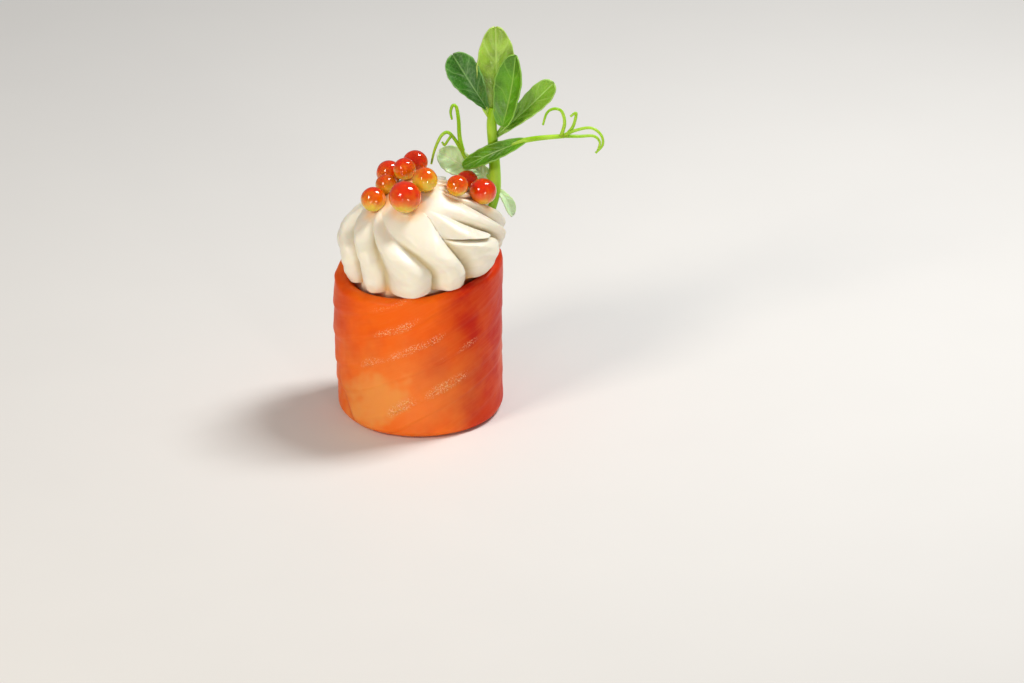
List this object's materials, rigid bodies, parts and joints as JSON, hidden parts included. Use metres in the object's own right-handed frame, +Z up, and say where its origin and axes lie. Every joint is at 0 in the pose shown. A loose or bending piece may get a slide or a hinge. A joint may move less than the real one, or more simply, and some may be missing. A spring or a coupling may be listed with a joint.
{
  "type": "salmon gunkan sushi",
  "caption": "Salmon slice wrapped into a drum, topped with a piped swirl of cream cheese, salmon roe and an upright pea shoot.",
  "frame": {"origin": "centre of the salmon wrap's flat foot, on the surface that the piece stands on", "axes": "+Z up through the wrap; +X to the right of the piece, the side that the pea shoot stands on; +Y to its back"},
  "size_m": [0.0614, 0.0393, 0.0873],
  "materials": {
    "salmon": "raw salmon, wet and slightly translucent",
    "cream_cheese": "whipped cream cheese, soft satin",
    "roe": "salmon roe, clear orange and glossy",
    "pea_leaf": "fresh pea shoot, thin waxy leaf"
  },
  "bodies": {
    "root": {"salmon_wrap": "salmon", "cream": "cream_cheese", "roe_1": "roe", "roe_2": "roe", "roe_3": "roe", "roe_4": "roe", "roe_5": "roe", "roe_6": "roe", "roe_7": "roe", "roe_8": "roe", "roe_9": "roe", "roe_10": "roe", "pea_shoot": "pea_leaf"}
  },
  "joints": []
}
